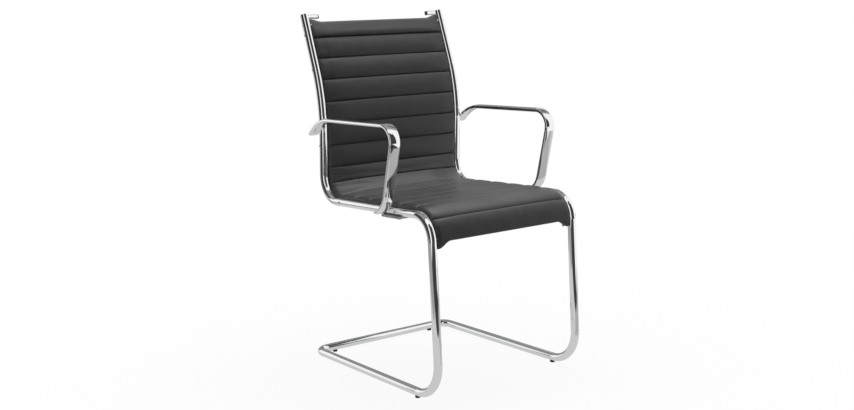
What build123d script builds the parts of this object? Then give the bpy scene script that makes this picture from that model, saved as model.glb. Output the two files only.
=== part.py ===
"""Visitor chair: two bent side tubes, crowned strip arms and a ribbed leather sling stretched between the tubes.

Millimetres, +Z up. The sitter faces -Y, so the chair's right side is at -X. The origin lies on the floor
under the middle of the frame.
"""

import os
from bisect import bisect
from math import acos, cos, radians, sin, sqrt, tan

from build123d import *

os.makedirs("parts", exist_ok=True)

# Side tubes, sizes of the centreline before the corners are bent
tube_diameter = 22.0
tube_wall = 2.0
tube_spacing = 452.0
base_length = 596.0
leg_lean = 0.9
seat_front_height = 474.0
seat_rear_height = 463.0
seat_depth = 505.0
lumbar_height = 738.0
lumbar_advance = 19.0
back_height = 964.5
upper_back_angle = 18.8
toe_radius = 90.0
seat_front_radius = 63.0
seat_rear_radius = 63.0
lumbar_radius = 443.0
floor_corner_radius = 33.0

# Plug that joins the two tubes inside the rear floor bar
joint_plug_length = 60.0
joint_plug_clearance = 0.1
joint_plug_chamfer = 1.5

# Push-in floor glides
glide_height = 4.5
glide_diameter = 14.0
glide_grip = 3.0
glide_stem_diameter = 5.0
glide_stem_length = 9.0
glide_chamfer = 1.0
front_glide_setback = 93.0
rear_glide_inset = 58.0

# Cast caps on the tube tops, with a tab over each top corner of the sling
cap_thickness = 2.5
cap_spigot_length = 20.0
cap_spigot_clearance = 0.1
tab_reach = 30.0
tab_depth = 11.0
tab_height = 11.0
tab_set_back = 3.0
tab_edge_radius = 2.5
plug_length = 4.0
plug_peg_diameter = 5.0
plug_peg_length = 6.0
plug_chamfer = 1.5

# Brackets behind the front corners of the sling
bracket_reach = 16.0
bracket_height = 12.0
bracket_depth = 6.0
bracket_tip_gap = 1.0
bracket_chamfer = 1.5

# Sling, measured along the tube's centreline from its top end and square to it towards the sitter
sling_side_gap = 0.3
ear_width = 40.0
top_ear_start = 9.5
top_edge_start = 18.0
top_band = 47.0
back_band = 59.5
back_band_count = 6
lowest_back_band = 48.0
seat_band_count = 7
front_seam_past_bend = 48.0
front_edge_past_bend = 2.5
front_ear_past_bend = 20.0
seam_height = 6.5
rib_rise = 5.5
seat_rib_rise = 4.0
seat_pad_height = 9.0
waist_pad_height = 9.0
low_seam_pad_height = 3.0
front_seam_pad_height = 6.0
shoulder_inset = 10.0
shoulder_rib_share = 0.9
shoulder_pad_share = 0.85
side_seam_height = 5.0
side_rib_share = 0.55
side_pad_share = 0.15
cover_underside = 2.5
core_front = 2.2
core_thickness = 1.6
lining_gap = 0.3
lining_thickness = 1.8
lining_puff = 1.2
hem_length = 26.0
hem_depth = 4.0
hem_gap = 0.3

# Rods in the end hems that keep the tubes apart
spreader_diameter = 8.0
spreader_height = 1.0
spreader_setback = 10.0
spreader_clearance = 0.15
spreader_end_gap = 0.1

# Strips in the side hems, screwed to the tubes
rail_thickness = 3.0
rail_rear = -4.0
rail_front = 2.0
rail_end_gap = 4.0
rail_screw_inset = 8.0
rail_screw_past_bend = 27.0
rail_screw_before_bend = 78.0
rail_screw_below_arm = 44.0

# Plate under the seat between the rails
plate_length = 85.0
plate_thickness = 6.0
plate_overhang = 3.0
plate_corner_radius = 10.0
plate_chamfer = 1.5
plate_setback = 99.0
plate_bolt_spacing = 52.0

# Arms of crowned strip
arm_width = 30.0
arm_edge_thickness = 8.0
arm_crown = 1.8
arm_edge_radius = 3.5
arm_rise = 218.0
arm_rear_drop = 31.5
arm_rear_radius = 134.0
arm_front_radius = 41.0
arm_post_lean = 16.3
arm_foot_turn = 53.5
arm_foot_radius = 60.0
arm_foot_setback = 119.0
arm_rear_end = 15.0
arm_foot_end = 10.0
arm_saddle_depth = 0.8

# Screws and bolts
screw_diameter = 4.0
screw_head_diameter = 7.0
screw_head_height = 1.8
screw_head_edge = 1.0
screw_hole_clearance = 0.15
screw_in_rod = 14.0
arm_bolt_diameter = 5.0
arm_bolt_head_diameter = 9.0
arm_bolt_head_height = 3.5
arm_bolt_bite = 12.0
arm_bolt_driver_clearance = 0.5
plate_bolt_diameter = 6.0
plate_bolt_head_diameter = 11.0
plate_bolt_head_height = 3.0
plate_bolt_bite = 3.0
plate_bolt_head_taper = 20.0

# Gap that seated pieces keep, and how far a cut runs past the surface it opens
seat_gap = 0.1
cut_overrun = 1.0

# Sizes worked out from those above
tube_radius = tube_diameter / 2
bore_radius = tube_radius - tube_wall
half_spacing = tube_spacing / 2
floor_height = glide_height + tube_radius
rear_y = base_length / 2
lean = radians(leg_lean)
toe_y = -base_length / 2 - toe_radius * (tan(lean) + 1 / cos(lean) - 1)
seat_front_y = toe_y + (seat_front_height - floor_height) * tan(lean)
seat_rear_y = seat_front_y + seat_depth
lumbar_y = seat_rear_y - lumbar_advance
top_y = lumbar_y + (back_height - lumbar_height) * tan(radians(upper_back_angle))

side_corners = [
    (top_y, back_height),
    (lumbar_y, lumbar_height),
    (seat_rear_y, seat_rear_height),
    (seat_front_y, seat_front_height),
    (toe_y, floor_height),
    (rear_y, floor_height),
]
side_radii = [lumbar_radius, seat_rear_radius, seat_front_radius, toe_radius]

# The side view of a tube's centreline: straight runs and bends in turn, from the top down to the floor
with BuildLine(Plane.YZ):
    side = FilletPolyline(*side_corners, radius=side_radii)
run_starts = [0.0]
for stretch_edge in side.edges().sort_by(side):
    run_starts.append(run_starts[-1] + stretch_edge.length)
rear_bend, seat_run, front_bend, leg_run = run_starts[3:7]


def at(station, height=0.0):
    """Side view point at a station along the centreline, raised towards the sitter."""
    place = side.position_at(station, PositionMode.LENGTH)
    along = side.tangent_at(station, PositionMode.LENGTH)
    return (place.Y + height * along.Z, place.Z - height * along.Y)


def station_at(height):
    """Station where the back's centreline stands at a height above the floor."""
    low, high = 0.0, rear_bend
    while high - low > 0.001:
        middle = (low + high) / 2
        if at(middle)[1] > height:
            low = middle
        else:
            high = middle
    return high


def spot(x, station, height=0.0):
    """The same point in space, at a distance from the middle plane."""
    return (x, *at(station, height))


def facing(x, station, height=0.0):
    """Plane square to the sling at a station, with its normal towards the sitter."""
    along = side.tangent_at(station, PositionMode.LENGTH)
    return Plane(spot(x, station, height), x_dir=(1, 0, 0), z_dir=(0, along.Z, -along.Y))


def follow(start, end, height):
    """Draw the centreline's run between two stations, raised towards the sitter."""
    low, high = min(start, end), max(start, end)
    cuts = [low, *[cut for cut in run_starts if low + 0.01 < cut < high - 0.01], high]
    if start > end:
        cuts.reverse()
    for first, last in zip(cuts, cuts[1:]):
        middle = (first + last) / 2
        if bisect(run_starts, middle) % 2:
            Line(at(first, height), at(last, height))
        else:
            ThreePointArc(at(first, height), at(middle, height), at(last, height))


def ribs(seams, heights, rise):
    """Draw one arc for each band between two seams, rising over the mean of their heights."""
    for first, last, foot, next_foot in zip(seams, seams[1:], heights, heights[1:]):
        crown = (foot + next_foot) / 2 + rise
        ThreePointArc(at(first, foot), at((first + last) / 2, crown), at(last, next_foot))


def quilted_outline(seams, heights, rise, backs):
    """Closed side view of a quilted layer: ribs on one face, plain runs (start, end, height) on the other."""
    ribs(seams, heights, rise)
    here = at(seams[-1], heights[-1])
    for start, end, height in reversed(backs):
        Line(here, at(end, height))
        follow(end, start, height)
        here = at(start, height)
    Line(here, at(seams[0], heights[0]))


def crosswise(radius, length, align=Align.CENTER, mode=Mode.ADD):
    """A round bar along X. MIN grows it towards the middle of the chair's right side, MAX away from it."""
    Cylinder(radius, length, rotation=(0, 90, 0), align=(Align.CENTER, Align.CENTER, align), mode=mode)


def mirrored(piece, label):
    """The left twin of a right-hand piece."""
    with BuildPart() as twin:
        mirror(piece.part, about=Plane.YZ)
    twin.part.label = label
    return twin


def save(piece, label):
    piece.part.label = label
    export_step(piece.part, f"parts/{label}.step")


def save_pair(right_piece, name):
    save(right_piece, f"right_{name}")
    save(mirrored(right_piece, f"left_{name}"), f"left_{name}")


# Stations of the seams, from the top edge to the front edge
first_seam = top_edge_start + top_band
back_seams = [first_seam + back_band * count for count in range(back_band_count + 1)]
waist_seam = back_seams[-1] + lowest_back_band
front_seam = front_bend + front_seam_past_bend
seat_band = (front_seam - waist_seam) / seat_band_count
seat_seams = [waist_seam + seat_band * count for count in range(seat_band_count + 1)]
front_edge = leg_run + front_edge_past_bend
front_ear = leg_run + front_ear_past_bend
top_hem = top_edge_start + hem_length
front_hem = front_edge - hem_length
top_spreader = top_edge_start + spreader_setback
front_spreader = front_edge - spreader_setback
sling_edge = half_spacing - tube_radius - sling_side_gap
ear_start = sling_edge - ear_width

# Stations of what is fastened to the tubes
arm_foot = front_bend - arm_foot_setback
arm_axis = at(arm_foot)[1] + arm_rise
arm_rear = station_at(arm_axis - arm_rear_drop)
plate_middle = front_bend - plate_setback
rail_start = top_hem + rail_end_gap
rail_end = front_hem - rail_end_gap
rail_screws = [
    rail_start + rail_screw_inset,
    (back_seams[1] + back_seams[2]) / 2,
    arm_rear + rail_screw_below_arm,
    seat_run + rail_screw_past_bend,
    front_bend - rail_screw_before_bend,
]
rod_screws = [(top_spreader, spreader_height), (front_spreader, spreader_height)]
front_glide_y = -base_length / 2 + front_glide_setback
rear_glide_x = half_spacing - rear_glide_inset
glide_spots = {
    "right_front_glide": (-half_spacing, front_glide_y, 0),
    "left_front_glide": (half_spacing, front_glide_y, 0),
    "right_rear_glide": (-rear_glide_x, rear_y, 0),
    "left_rear_glide": (rear_glide_x, rear_y, 0),
}
plate_bolts = [plate_middle - plate_bolt_spacing / 2, plate_middle + plate_bolt_spacing / 2]
screw_hole_radius = screw_diameter / 2 + screw_hole_clearance
arm_hole_radius = arm_bolt_diameter / 2 + screw_hole_clearance
arm_driver_radius = arm_bolt_head_diameter / 2 + arm_bolt_driver_clearance
plate_hole_radius = plate_bolt_diameter / 2 + screw_hole_clearance

tube_corners = [(-half_spacing, *corner) for corner in side_corners] + [(0, rear_y, floor_height)]
tube_radii = [*side_radii, floor_corner_radius]

# Side tube, right, with the holes for its screws, bolts and glides
with BuildPart() as right_tube:
    with BuildLine() as tube_run:
        FilletPolyline(*tube_corners, radius=tube_radii)
    with BuildSketch(Plane(tube_run.wire() @ 0, z_dir=tube_run.wire() % 0)):
        Circle(tube_radius)
        Circle(bore_radius, mode=Mode.SUBTRACT)
    sweep(path=tube_run.wire())
    with Locations(*[spot(-half_spacing, station) for station in rail_screws]):
        crosswise(screw_hole_radius, tube_diameter + 2 * cut_overrun, mode=Mode.SUBTRACT)
    with Locations(*[spot(-half_spacing, station, height) for station, height in rod_screws]):
        crosswise(screw_hole_radius, tube_diameter + 2 * cut_overrun, mode=Mode.SUBTRACT)
    with Locations(spot(-half_spacing, arm_rear), spot(-half_spacing, arm_foot)):
        crosswise(arm_hole_radius, tube_radius + cut_overrun, Align.MAX, Mode.SUBTRACT)
        crosswise(arm_driver_radius, tube_radius + cut_overrun, Align.MIN, Mode.SUBTRACT)
    for station in plate_bolts:
        with BuildSketch(facing(-half_spacing, station)):
            Circle(plate_hole_radius)
        extrude(amount=-tube_radius - cut_overrun, mode=Mode.SUBTRACT)
    for place in (glide_spots["right_front_glide"], glide_spots["right_rear_glide"]):
        with Locations(place):
            Cylinder(
                glide_stem_diameter / 2 + screw_hole_clearance,
                floor_height,
                align=(Align.CENTER, Align.CENTER, Align.MIN),
                mode=Mode.SUBTRACT,
            )
save_pair(right_tube, "side_tube")

# The space that a tube fills, with the gap that seated pieces keep
with BuildPart() as tube_space:
    with BuildLine() as space_run:
        FilletPolyline(*tube_corners, radius=tube_radii)
    with BuildSketch(Plane(space_run.wire() @ 0, z_dir=space_run.wire() % 0)):
        Circle(tube_radius + seat_gap)
    sweep(path=space_run.wire())

# Plug across the joint in the rear floor bar
with BuildPart() as joint_plug:
    with Locations((0, rear_y, floor_height)):
        crosswise(bore_radius - joint_plug_clearance, joint_plug_length)
    chamfer(joint_plug.edges().filter_by(GeomType.CIRCLE), joint_plug_chamfer)
save(joint_plug, "rear_joint_plug")

# Floor glides: a foot shaped to the tube above it and a stem pushed into the tube's wall
for glide_name, glide_place in glide_spots.items():
    crossways = "rear" in glide_name
    with BuildPart() as glide:
        with Locations(glide_place):
            Cylinder(
                glide_diameter / 2,
                glide_height + glide_grip,
                align=(Align.CENTER, Align.CENTER, Align.MIN),
            )
        chamfer(glide.edges().group_by(Axis.Z)[0], glide_chamfer)
        with Locations((glide_place[0], glide_place[1], floor_height)):
            Cylinder(
                tube_radius + seat_gap,
                2 * glide_diameter,
                rotation=(0, 90, 0) if crossways else (90, 0, 0),
                mode=Mode.SUBTRACT,
            )
        with Locations(glide_place):
            Cylinder(
                glide_stem_diameter / 2,
                glide_height + glide_stem_length,
                align=(Align.CENTER, Align.CENTER, Align.MIN),
            )
    save(glide, glide_name)

# Cast cap on the tube's top end: spigot in the bore, round lid and the tab that reaches over the sling
tube_top = side.tangent_at(0) * -1
cap_plane = Plane(spot(-half_spacing, 0), x_dir=(1, 0, 0), z_dir=tube_top)
tab_end = tube_radius + tab_reach
tab_middle = cap_plane.from_local_coords((tab_end, tab_set_back, cap_thickness - tab_height / 2))
tab_end_plane = Plane(tab_middle, x_dir=tube_top, z_dir=(1, 0, 0))
with BuildPart() as right_cap:
    with BuildSketch(cap_plane.offset(cap_thickness - tab_height)):
        with Locations((tab_end / 2, tab_set_back)):
            Rectangle(tab_end, tab_depth)
    extrude(amount=tab_height)
    fillet(right_cap.edges().filter_by(Axis.X), tab_edge_radius)
    with BuildSketch(cap_plane):
        Circle(tube_radius + seat_gap)
    extrude(amount=-tab_height, mode=Mode.SUBTRACT)
    with BuildSketch(cap_plane):
        Circle(tube_radius)
    extrude(amount=cap_thickness)
    with BuildSketch(cap_plane):
        Circle(bore_radius - cap_spigot_clearance)
    extrude(amount=-cap_spigot_length)
    with BuildSketch(tab_end_plane):
        Circle(plug_peg_diameter / 2 + seat_gap)
    extrude(amount=-plug_peg_length - cut_overrun, mode=Mode.SUBTRACT)
save_pair(right_cap, "top_cap")

# Dark plug that closes the end of each tab
with BuildPart() as right_plug:
    with BuildSketch(tab_end_plane):
        RectangleRounded(tab_height, tab_depth, tab_edge_radius)
    extrude(amount=plug_length)
    chamfer(right_plug.edges().group_by(Axis.X)[-1], plug_chamfer)
    with BuildSketch(tab_end_plane):
        Circle(plug_peg_diameter / 2)
    extrude(amount=-plug_peg_length)
save_pair(right_plug, "tab_plug")

# Bracket on the leg that backs the sling's front corner
bracket_middle = front_ear - bracket_tip_gap - bracket_height / 2
bracket_end = half_spacing - tube_radius - bracket_reach
with BuildPart() as right_bracket:
    with BuildSketch(facing(0, bracket_middle, -hem_depth - hem_gap)):
        with Locations((-(half_spacing + bracket_end) / 2, 0)):
            Rectangle(half_spacing - bracket_end, bracket_height)
    extrude(amount=-bracket_depth)
    chamfer(right_bracket.edges().group_by(Axis.X)[-1], bracket_chamfer)
    add(tube_space.part, mode=Mode.SUBTRACT)
save_pair(right_bracket, "front_bracket")

# Spreader rods in the top and front hems
for rod_name, rod_station in (("top_spreader_rod", top_spreader), ("front_spreader_rod", front_spreader)):
    with BuildPart() as rod:
        with Locations(spot(0, rod_station, spreader_height)):
            crosswise(spreader_diameter / 2, 2 * (half_spacing - tube_radius - spreader_end_gap))
        for sign in (-1, 1):
            with Locations(spot(sign * (half_spacing - tube_radius), rod_station, spreader_height)):
                crosswise(screw_hole_radius, 2 * (screw_in_rod + cut_overrun), mode=Mode.SUBTRACT)
    save(rod, rod_name)

# Edge rail in the sling's side hem, against the inner side of the tube
with BuildPart() as right_rail:
    with BuildSketch(Plane.YZ.offset(-(half_spacing - tube_radius))):
        with BuildLine():
            follow(rail_start, rail_end, rail_front)
            Line(at(rail_end, rail_front), at(rail_end, rail_rear))
            follow(rail_end, rail_start, rail_rear)
            Line(at(rail_start, rail_rear), at(rail_start, rail_front))
        make_face()
    extrude(amount=rail_thickness)
    with Locations(*[spot(-half_spacing + tube_radius, station) for station in rail_screws]):
        crosswise(screw_hole_radius, 2 * (rail_thickness + cut_overrun), mode=Mode.SUBTRACT)
save_pair(right_rail, "sling_edge_rail")

# Plate under the seat, seated against the underside of both rails
with BuildPart() as seat_plate:
    with BuildSketch(facing(0, plate_middle, -tube_radius)):
        RectangleRounded(2 * (half_spacing + tube_radius + plate_overhang), plate_length, plate_corner_radius)
    extrude(amount=-plate_thickness)
    for sign in (-1, 1):
        for station in plate_bolts:
            with BuildSketch(facing(sign * half_spacing, station)):
                Circle(plate_hole_radius)
            extrude(amount=-tube_radius - plate_thickness - cut_overrun, mode=Mode.SUBTRACT)
    chamfer(seat_plate.faces().sort_by(Axis.Z)[0].outer_wire().edges(), plate_chamfer)
save(seat_plate, "seat_cross_plate")

# Bolts that hold the plate to the rails
with BuildPart() as plate_bolt_set:
    for station in plate_bolts:
        under_plate = facing(-half_spacing, station, -tube_radius - plate_thickness)
        with BuildSketch(under_plate):
            Circle(plate_bolt_diameter / 2)
        extrude(amount=plate_thickness + tube_wall + plate_bolt_bite)
        with BuildSketch(under_plate):
            Circle(plate_bolt_head_diameter / 2)
        extrude(amount=-plate_bolt_head_height, taper=plate_bolt_head_taper)
    mirror(about=Plane.YZ)
save(plate_bolt_set, "cross_plate_bolts")

# Arm: a crowned strip from the back tube forwards, down and back to the seat rail
arm_x = -(half_spacing + tube_radius - arm_saddle_depth + arm_width / 2)
rear_y_hold, rear_z_hold = at(arm_rear)
foot_y_hold, foot_z_hold = at(arm_foot)
rear_turn = acos(1 - (arm_axis - rear_z_hold) / arm_rear_radius)
post_angle = radians(arm_post_lean)
foot_angle = radians(arm_post_lean + arm_foot_turn)


def rear_arc(turn):
    """Point of the arm's rear curve, by its turn from level."""
    forward = (sin(rear_turn) - sin(turn)) * arm_rear_radius
    rise = (cos(turn) - cos(rear_turn)) * arm_rear_radius
    return (rear_y_hold - forward, rear_z_hold + rise)


def foot_arc(angle):
    """Point of the arm's foot curve, by its angle from upright."""
    forward = (cos(angle) - cos(foot_angle)) * arm_foot_radius
    rise = (sin(foot_angle) - sin(angle)) * arm_foot_radius
    return (foot_y_hold - forward, foot_z_hold + rise)


post_y, post_z = foot_arc(post_angle)
arm_corner = (post_y - (arm_axis - post_z) * tan(post_angle), arm_axis)
rear_tip = (rear_y_hold + cos(rear_turn) * arm_rear_end, rear_z_hold - sin(rear_turn) * arm_rear_end)
foot_tip = (foot_y_hold + sin(foot_angle) * arm_foot_end, foot_z_hold - cos(foot_angle) * arm_foot_end)
with BuildPart() as right_arm:
    with BuildLine(Plane.YZ.offset(arm_x)) as arm_line:
        Line(rear_tip, rear_arc(rear_turn))
        ThreePointArc(rear_arc(rear_turn), rear_arc(rear_turn / 2), rear_arc(0))
        FilletPolyline(rear_arc(0), arm_corner, foot_arc(post_angle), radius=arm_front_radius)
        ThreePointArc(foot_arc(post_angle), foot_arc((post_angle + foot_angle) / 2), foot_arc(foot_angle))
        Line(foot_arc(foot_angle), foot_tip)
    with BuildSketch(Plane(arm_line.wire() @ 0, x_dir=(1, 0, 0), z_dir=arm_line.wire() % 0)):
        with BuildLine():
            for face in (1, -1):
                edge = face * arm_edge_thickness / 2
                ThreePointArc((-arm_width / 2, edge), (0, edge + face * arm_crown), (arm_width / 2, edge))
            for end in (-arm_width / 2, arm_width / 2):
                Line((end, -arm_edge_thickness / 2), (end, arm_edge_thickness / 2))
        make_face()
        fillet(vertices(), radius=arm_edge_radius)
    sweep(path=arm_line.wire())
    add(tube_space.part, mode=Mode.SUBTRACT)
    with Locations(spot(-half_spacing, arm_rear), spot(-half_spacing, arm_foot)):
        crosswise(arm_hole_radius, tube_radius + arm_bolt_bite + cut_overrun, Align.MAX, Mode.SUBTRACT)
save_pair(right_arm, "armrest")

# Arm bolts: the heads sit inside the tubes, the shanks bite into the strips' inner edges
bolt_seat = half_spacing + sqrt(bore_radius**2 - (arm_bolt_head_diameter / 2) ** 2)
with BuildPart() as arm_bolt_set:
    for station in (arm_rear, arm_foot):
        with Locations(spot(-bolt_seat, station)):
            crosswise(arm_bolt_head_diameter / 2, arm_bolt_head_height, Align.MIN)
            crosswise(arm_bolt_diameter / 2, half_spacing + tube_radius + arm_bolt_bite - bolt_seat, Align.MAX)
    mirror(about=Plane.YZ)
save(arm_bolt_set, "arm_bolts")

# Screws through the tubes, into the edge rails and the spreader rods
rail_reach = tube_diameter + rail_thickness
rod_reach = tube_diameter + screw_in_rod
with BuildPart() as screw_set:
    screw_places = [(station, 0.0, rail_reach) for station in rail_screws]
    screw_places += [(station, height, rod_reach) for station, height in rod_screws]
    for station, height, reach in screw_places:
        with Locations(spot(-half_spacing - tube_radius, station, height)):
            crosswise(screw_diameter / 2, reach, Align.MIN)
            crosswise(screw_head_diameter / 2, screw_head_height, Align.MAX)
    chamfer(screw_set.edges().group_by(Axis.X)[0], screw_head_edge)
    mirror(about=Plane.YZ)
save(screw_set, "sling_screws")

# Ribbed covers: the side view is lofted across the chair, flatter at the tubes and longer at the ears
shoulder_ear_share = 1 - shoulder_inset / ear_width
half_sections = [
    (ear_start, 0.0, seam_height, 1.0, 1.0),
    (sling_edge - shoulder_inset, shoulder_ear_share, seam_height, shoulder_rib_share, shoulder_pad_share),
    (sling_edge, 1.0, side_seam_height, side_rib_share, side_pad_share),
]
cover_sections = [(-x, *shares) for x, *shares in reversed(half_sections)] + half_sections
back_pad = [*[0.0] * (back_band_count + 1), low_seam_pad_height, waist_pad_height]
seat_pad = [waist_pad_height, *[seat_pad_height] * (seat_band_count - 1), front_seam_pad_height, 0.0]
with BuildPart() as back_cover:
    for x, ear_share, foot, rib_share, pad_share in cover_sections:
        top = top_edge_start + (top_ear_start - top_edge_start) * ear_share
        backs = [(top, top_hem, -hem_depth), (top_hem, waist_seam, cover_underside)]
        heights = [foot + pad * pad_share for pad in back_pad]
        with BuildSketch(Plane.YZ.offset(x)):
            with BuildLine():
                quilted_outline([top, *back_seams, waist_seam], heights, rib_rise * rib_share, backs)
            make_face()
    loft(ruled=True)
    with Locations(spot(0, top_spreader, spreader_height)):
        crosswise(spreader_diameter / 2 + spreader_clearance, tube_spacing, mode=Mode.SUBTRACT)
save(back_cover, "back_cover")

with BuildPart() as seat_cover:
    for x, ear_share, foot, rib_share, pad_share in cover_sections:
        front = front_edge + (front_ear - front_edge) * ear_share
        backs = [(waist_seam, front_hem, cover_underside), (front_hem, front, -hem_depth)]
        heights = [foot + pad * pad_share for pad in seat_pad]
        with BuildSketch(Plane.YZ.offset(x)):
            with BuildLine():
                quilted_outline([*seat_seams, front], heights, seat_rib_rise * rib_share, backs)
            make_face()
    loft(ruled=True)
    with Locations(spot(0, front_spreader, spreader_height)):
        crosswise(spreader_diameter / 2 + spreader_clearance, tube_spacing, mode=Mode.SUBTRACT)
save(seat_cover, "seat_cover")

# Webbing sheet that carries the load, between the edge rails
core_edge = half_spacing - tube_radius - rail_thickness - hem_gap
core_start, core_end = top_hem + hem_gap, front_hem - hem_gap
with BuildPart() as core:
    with BuildSketch(Plane.YZ.offset(-core_edge)):
        with BuildLine():
            follow(core_start, core_end, core_front)
            Line(at(core_end, core_front), at(core_end, core_front - core_thickness))
            follow(core_end, core_start, core_front - core_thickness)
            Line(at(core_start, core_front - core_thickness), at(core_start, core_front))
        make_face()
    extrude(amount=2 * core_edge)
save(core, "sling_webbing")

# Rear lining, sewn through at the same seams
lining_front = core_front - core_thickness - lining_gap
lining_rear = lining_front - lining_thickness
lining_seams = [core_start, *back_seams, *seat_seams, core_end]
with BuildPart() as lining:
    with BuildSketch(Plane.YZ.offset(-core_edge)):
        with BuildLine():
            heights = [lining_rear] * len(lining_seams)
            quilted_outline(lining_seams, heights, -lining_puff, [(core_start, core_end, lining_front)])
        make_face()
    extrude(amount=2 * core_edge)
save(lining, "rear_lining")
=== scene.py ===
"""Dresses the visitor chair: ribbed leather sling, stitched seams, chrome frame and a plain white studio.

Metres, +Z up. The sitter faces -Y, so the chair's right side is at -X. The sling is laid out along the
centreline of the bent side tubes: a station is the distance from the tube's top end, and a height is
measured square to the tube, towards the sitter.
"""

from bisect import bisect_right
from math import atan2, cos, exp, hypot, pi, radians, sin, sqrt, tan

import bpy
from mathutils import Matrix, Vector, noise


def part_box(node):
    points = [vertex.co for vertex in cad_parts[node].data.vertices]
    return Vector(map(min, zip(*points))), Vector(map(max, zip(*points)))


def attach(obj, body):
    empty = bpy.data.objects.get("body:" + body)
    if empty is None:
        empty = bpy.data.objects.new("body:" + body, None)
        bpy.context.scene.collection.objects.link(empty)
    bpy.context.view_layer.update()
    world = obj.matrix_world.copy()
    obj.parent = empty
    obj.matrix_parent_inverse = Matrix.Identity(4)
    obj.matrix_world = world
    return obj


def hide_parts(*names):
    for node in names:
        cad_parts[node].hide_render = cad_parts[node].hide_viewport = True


bl_info = {
    "name": "Visitor Chair Dressing",
    "version": (1, 0, 0),
    "blender": (4, 5, 0),
    "location": "3D View > Sidebar > Chair",
    "description": "Ribbed leather sling, stitching, chrome and studio for a cantilever visitor chair",
    "category": "Object",
}

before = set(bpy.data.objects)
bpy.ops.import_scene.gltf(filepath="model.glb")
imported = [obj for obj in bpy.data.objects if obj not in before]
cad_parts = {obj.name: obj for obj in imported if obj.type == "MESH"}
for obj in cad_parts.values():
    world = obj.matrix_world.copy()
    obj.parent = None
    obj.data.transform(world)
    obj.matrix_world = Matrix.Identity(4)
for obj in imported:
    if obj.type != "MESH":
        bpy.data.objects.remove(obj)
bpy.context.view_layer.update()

# Centreline of the side tubes, as the frame has it
FLOOR_HEIGHT = 0.0155
BASE_LENGTH = 0.596
LEG_LEAN = radians(0.9)
SEAT_FRONT_HEIGHT = 0.474
SEAT_REAR_HEIGHT = 0.463
SEAT_DEPTH = 0.505
LUMBAR_HEIGHT = 0.738
LUMBAR_ADVANCE = 0.019
BACK_HEIGHT = 0.9645
UPPER_BACK_ANGLE = radians(18.8)
LUMBAR_RADIUS = 0.443
SEAT_BEND_RADIUS = 0.063
TOE_RADIUS = 0.09

# Corners of that centreline in the side view, (y, z), listed from the top down to the floor
TOE = (-BASE_LENGTH / 2 - TOE_RADIUS * (tan(LEG_LEAN) + 1 / cos(LEG_LEAN) - 1), FLOOR_HEIGHT)
SEAT_FRONT = (TOE[0] + (SEAT_FRONT_HEIGHT - FLOOR_HEIGHT) * tan(LEG_LEAN), SEAT_FRONT_HEIGHT)
SEAT_REAR = (SEAT_FRONT[0] + SEAT_DEPTH, SEAT_REAR_HEIGHT)
LUMBAR = (SEAT_REAR[0] - LUMBAR_ADVANCE, LUMBAR_HEIGHT)
TOP = (LUMBAR[0] + (BACK_HEIGHT - LUMBAR_HEIGHT) * tan(UPPER_BACK_ANGLE), BACK_HEIGHT)
SIDE_CORNERS = [TOP, LUMBAR, SEAT_REAR, SEAT_FRONT, TOE, (BASE_LENGTH / 2, FLOOR_HEIGHT)]
SIDE_RADII = [LUMBAR_RADIUS, SEAT_BEND_RADIUS, SEAT_BEND_RADIUS, TOE_RADIUS]


def bent_line(corners, radii):
    """Straight runs and bends of a corner line: (station, point, direction, curvature) for each."""
    stretches = []
    station = 0.0
    here = Vector(corners[0])
    for before, corner, after, radius in zip(corners, corners[1:], corners[2:], radii):
        corner = Vector(corner)
        into = (corner - Vector(before)).normalized()
        out = (Vector(after) - corner).normalized()
        turn = atan2(into.x * out.y - into.y * out.x, into.dot(out))
        trim = radius * tan(abs(turn) / 2)
        bend_start = corner - into * trim
        stretches.append((station, here, into, 0.0))
        station += (bend_start - here).length
        stretches.append((station, bend_start, into, turn / (abs(turn) * radius)))
        station += radius * abs(turn)
        here = corner + out * trim
    stretches.append((station, here, out, 0.0))
    return stretches


# Runs and bends take turns, so the third bend, at the seat's front, is the sixth stretch
STRETCHES = bent_line(SIDE_CORNERS, SIDE_RADII)
STARTS = [stretch[0] for stretch in STRETCHES]
FRONT_BEND, LEG_RUN = STARTS[5:7]

# Edges of the sling, with ears that reach further along the tubes
SLING_EDGE = 0.2147
TOP_EDGE = 0.018
FRONT_EDGE_PAST_BEND = 0.0025
FRONT_EDGE = LEG_RUN + FRONT_EDGE_PAST_BEND
EAR_WIDTH = 0.04
EAR_TIP = 0.006
TOP_EAR_RISE = 0.0085
FRONT_EAR_DROP = 0.0175
HEM_LENGTH = 0.026

# Stations of the seams
TOP_SEAM = 0.065
BACK_BAND = 0.0595
BACK_BAND_COUNT = 6
WAIST_BAND = 0.048
SEAT_BAND_COUNT = 7
FRONT_SEAM_PAST_BEND = 0.048
BACK_SEAMS = [TOP_SEAM + BACK_BAND * count for count in range(BACK_BAND_COUNT + 1)]
WAIST_SEAM = BACK_SEAMS[-1] + WAIST_BAND
SEAT_RUN = FRONT_BEND + FRONT_SEAM_PAST_BEND - WAIST_SEAM
SEAT_SEAMS = [WAIST_SEAM + SEAT_RUN * count / SEAT_BAND_COUNT for count in range(SEAT_BAND_COUNT + 1)]

# Section of a rib: how level it is between its steep flanks, where 2 is an ellipse
RIB_FLATNESS = 3.4

# Top band: where its crown lies, from edge to seam, and how it leans back to its edge
TOP_CROWN = 0.86
TOP_LEAN = 1.2
TOP_LEAN_POWER = 1.6

# Front roll: how much of its height is left at the front edge, and how round it is
FRONT_EDGE_SHARE = 0.5
FRONT_ROLL_POWER = 0.8

# Where the sling spans clear of the waist bend: middle, past the seam, and reach to either side,
# then the margin beside the tubes and the width over which it rises
BRIDGE_OFFSET = 0.012
BRIDGE_REACH = 0.11
BRIDGE_MARGIN = 0.012
BRIDGE_EASE = 0.1

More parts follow.
